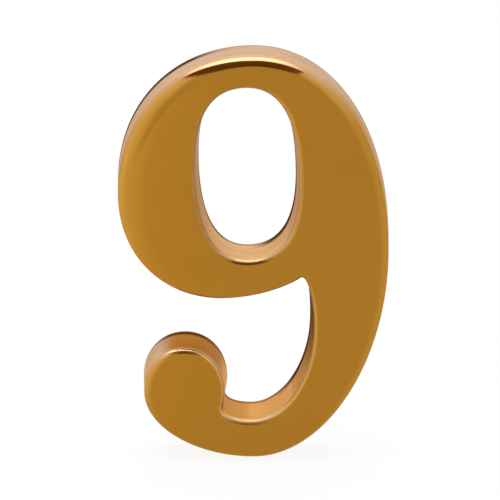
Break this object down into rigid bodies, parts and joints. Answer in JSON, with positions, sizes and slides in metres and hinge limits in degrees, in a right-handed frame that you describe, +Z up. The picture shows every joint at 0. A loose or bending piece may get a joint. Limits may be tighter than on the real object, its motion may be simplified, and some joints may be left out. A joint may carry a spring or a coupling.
{
  "type": "house number",
  "caption": "Solid polished brass house number in the shape of a bold serif nine with a ball terminal, drafted walls and a flat back that bonds to a door or wall.",
  "frame": {"origin": "on the flat back face, midway across the numeral, in the middle of the stroke under the counter", "axes": "+Z up the numeral, +X to the viewer's right, +Y out of the back into the door or wall, so the front face looks towards -Y"},
  "size_m": [0.0328, 0.0065, 0.05],
  "materials": {
    "polished_brass": "polished"
  },
  "bodies": {
    "root": {"numeral": "polished_brass"}
  },
  "joints": []
}
